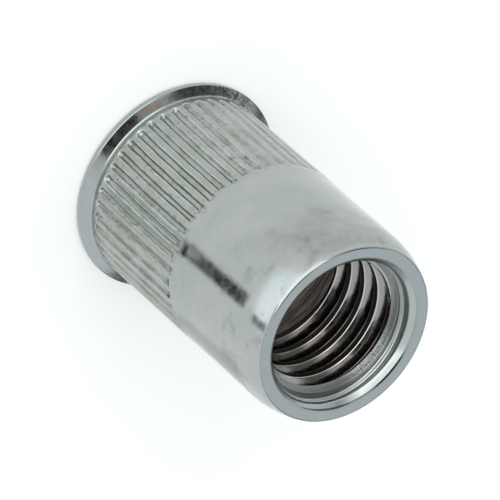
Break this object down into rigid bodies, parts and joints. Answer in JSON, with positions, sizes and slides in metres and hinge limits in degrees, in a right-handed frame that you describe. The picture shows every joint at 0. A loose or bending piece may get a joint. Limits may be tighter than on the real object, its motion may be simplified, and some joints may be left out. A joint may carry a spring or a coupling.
{
  "type": "rivet nut",
  "caption": "Blind rivet nut with a thin flange, a ribbed shank and an internally threaded end, formed as one piece of zinc-plated steel.",
  "frame": {"origin": "centre of the flange's flat face, on which the nut stands", "axes": "+Z along the thread's axis, from the flange towards the threaded end"},
  "size_m": [0.0142, 0.0142, 0.02],
  "materials": {
    "zinc_plated_steel": "satin bright zinc plating with faint stains between the ribs"
  },
  "bodies": {
    "root": {"rivet_nut": "zinc_plated_steel"}
  },
  "joints": []
}
